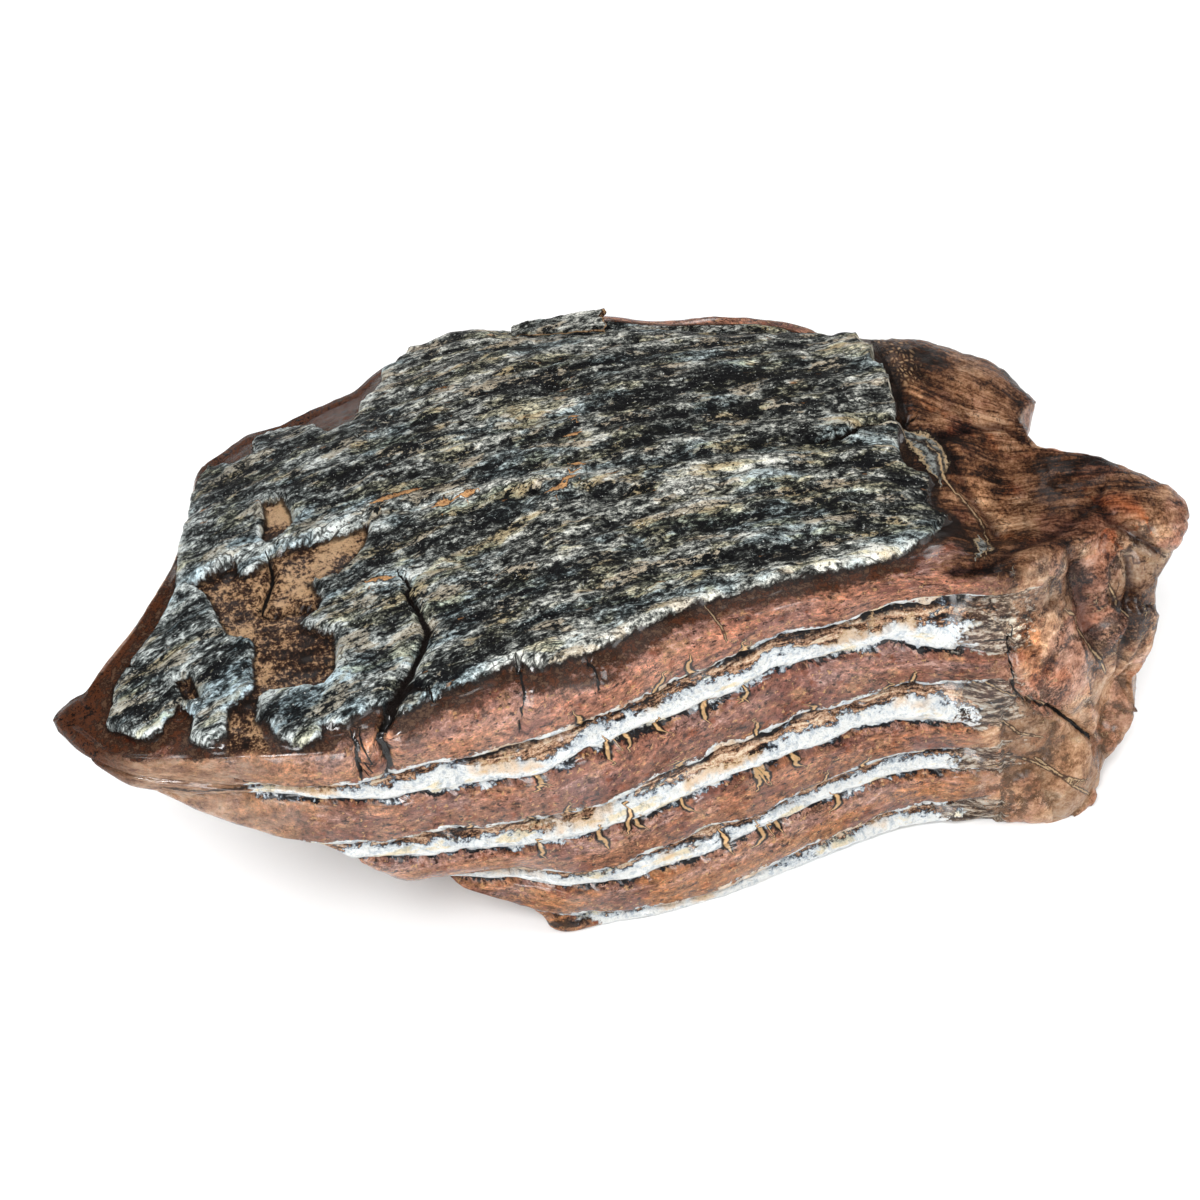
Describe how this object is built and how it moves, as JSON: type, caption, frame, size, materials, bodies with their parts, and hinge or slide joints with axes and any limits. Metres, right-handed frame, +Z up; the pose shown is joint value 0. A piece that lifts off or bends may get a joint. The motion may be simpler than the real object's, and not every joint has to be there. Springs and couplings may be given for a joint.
{
  "type": "fossil mammoth tooth",
  "caption": "Broken block of a fossil mammoth molar, pointed at its worn crown end and knobbed at its roots, with wavy enamel plates along its sides.",
  "frame": {"origin": "centre of the bounding box, at the level of the flat base that the block rests on", "axes": "+X along the plates from the worn crown tip to the roots, +Y across the tooth towards its far side, +Z up the stack of plates"},
  "size_m": [0.1734, 0.095, 0.0601],
  "materials": {
    "tooth": "mineralised enamel and cement, matt on the plate and polished on the sides"
  },
  "bodies": {
    "root": {"tooth": "tooth"}
  },
  "joints": []
}
